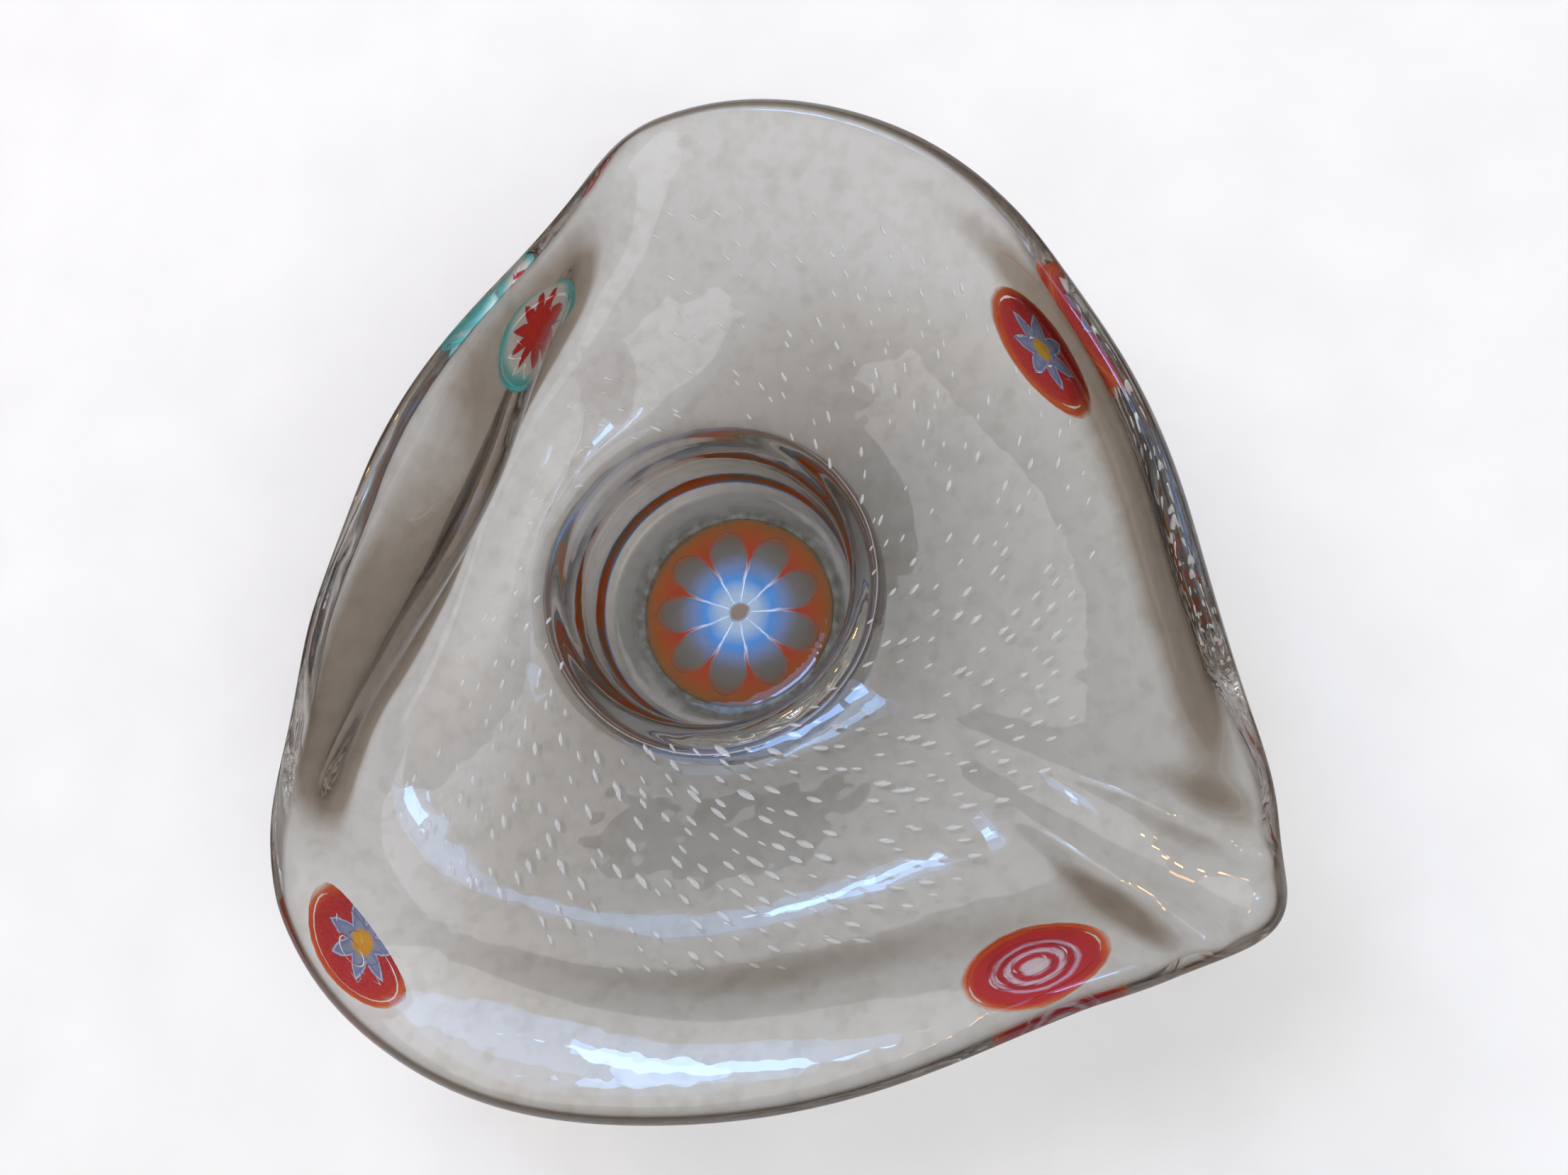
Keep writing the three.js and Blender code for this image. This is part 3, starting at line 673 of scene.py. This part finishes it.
# %% Flower
low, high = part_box("base_murrina_jacket")
middle = (low + high) / 2
reach = (high.x - low.x) / 2
for node in slice_names("base_murrina"):
    piece = fused_copy(node, middle, Vector((reach, 0, 0)), Vector((0, reach, 0)))
    piece.data.materials.append(halo if node.endswith("halo") else flower)
print("flower radius", round(reach * 1000, 1))

# %% [markdown]
# ## The air bubbles
# The maker rolls the first gather in a spiked mould and covers it with the second, which traps
# air at every dent. Blowing and swinging draws the rows into spirals and the bubbles into drops.
# A bubble is modelled once, from a coarse ball pinched towards one end, and copied with its own mesh.

# %% One bubble
deselect_all()
bpy.ops.mesh.primitive_ico_sphere_add(subdivisions=2, radius=0.5)
drop = bpy.context.object
drop.name = "drop"
for corner in drop.data.vertices:
    pinch = 1 - 0.55 * max(0.0, corner.co.x + 0.1)
    corner.co = Vector((corner.co.x, corner.co.y * pinch, corner.co.z * pinch))
bpy.ops.object.shade_smooth()
print("a bubble has", len(drop.data.polygons), "faces")

# %% [markdown]
# ## Placing a bubble
# A ray dropped from above the bowl finds its upper surface. The bubble goes 2 to 3.5 mm below it,
# about the middle of the wall, and lies along the surface. Where the ray misses, meets the well,
# or the wall is too steep, there is none.

# %% Placing
chance = random.Random(7)
glass_tree = tree_of(glass_body)
start_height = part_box("outer_casing")[0].z + 0.047
well_mouth = 0.03
least_upward = 0.35
flatness = 0.8
bubbles = []


def add_bubble(x, y, heading, length, width):
    """Puts a bubble in the middle of the wall under (x, y), drawn out along its heading."""
    hit, normal, _, _ = glass_tree.ray_cast(Vector((x, y, start_height)), Vector((0, 0, -1)))
    if hit is None or hit.z < well_mouth or normal.z < least_upward:
        return
    centre = hit - normal * chance.uniform(0.0022, 0.0034)
    flow = Vector((math.cos(heading), math.sin(heading), 0))
    flow = (flow - normal * flow.dot(normal)).normalized()
    axes = Matrix((flow * length, normal.cross(flow) * width, normal * width * flatness)).transposed()
    bubble = bpy.data.objects.new("bubble", drop.data.copy())
    bubble.data.transform(Matrix.Translation(centre) @ axes.to_4x4())
    scene.collection.objects.link(bubble)
    bubbles.append(bubble)


# %% [markdown]
# ## The spiral rows
# The rows start just outside the foot, and each is turned a little against the one before. The
# bubbles are longest and closest on the low side, where the glass was drawn out the most. Some
# dents close up without trapping any air, and in the fold the outer rows are lost.

# %% Rows
first_row, row_step, rows = 0.0295, 0.0027, 14
dent_spacing = 0.0043
row_turn = 0.05
low_side_at, low_side_spread = 285, 55
fold_start, fold_end, fold_rows = 100, 210, 6
sweep = math.radians(48)

for row in range(rows):
    ring = first_row + row * row_step
    count = int(2 * math.pi * ring / dent_spacing)
    for k in range(count):
        angle = 2 * math.pi * (k + 0.5 * (row % 2)) / count - row_turn * row
        degrees = math.degrees(angle) % 360
        from_low = (degrees - low_side_at + 180) % 360 - 180
        low_side = math.exp(-((from_low / low_side_spread) ** 2))
        keep = 0.45 + 0.3 * low_side
        in_fold = fold_start < degrees < fold_end and row > fold_rows
        if chance.random() > keep or in_fold:
            continue
        length = (0.0016 + 0.0010 * low_side) * chance.uniform(0.6, 1.4)
        width = length * chance.uniform(0.26, 0.40)
        r = ring + chance.uniform(-0.0011, 0.0011)
        add_bubble(r * math.cos(angle), r * math.sin(angle), angle + sweep, length, width)
print(len(bubbles), "bubbles")

# %% [markdown]
# ## One piece of air
# Hundreds of objects are slow to handle, so the bubbles are joined into one.

# %% Join the bubbles
bpy.data.objects.remove(drop)
deselect_all()
for bubble in bubbles:
    bubble.select_set(True)
bpy.context.view_layer.objects.active = bubbles[0]
bpy.ops.object.join()
air = bubbles[0]
air.name = "air_bubbles"
print("air_bubbles", len(air.data.polygons), "faces")

# %% [markdown]
# ## Trapped air
# It is air in glass, so the bend of light is turned round: 1 to 1.5 instead of 1.5 to 1. Each
# bubble is a tiny mirror that picks up every lamp in a room. Here there are few lamps, so a
# quarter of a white glow stands for that sparkle.

# %% Air finish
sparkle = 0.25
air.data.materials.clear()
trapped_air, output = new_material("trapped air")
shiny = glass_mix(trapped_air, output, 1 / glass_ior, "#ffffff")
glint = add_node(trapped_air, "ShaderNodeEmission", Color="#f4f8ff", Strength=1.0)
bubble_skin = add_node(trapped_air, "ShaderNodeMixShader", _0=sparkle,
                       _1=shiny.outputs["Shader"], _2=glint.outputs["Emission"])
trapped_air.node_tree.links.new(bubble_skin.outputs["Shader"], output.inputs["Surface"])
air.data.materials.append(trapped_air)
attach(air, "root")
print(trapped_air.name)

# %% [markdown]
# ## The sizes
# The visual model's box is printed, as the CAD box was.

# %% Keep the sizes, and finish
low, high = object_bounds()
print("visual box", [round(c, 4) for c in (*low, *high)])
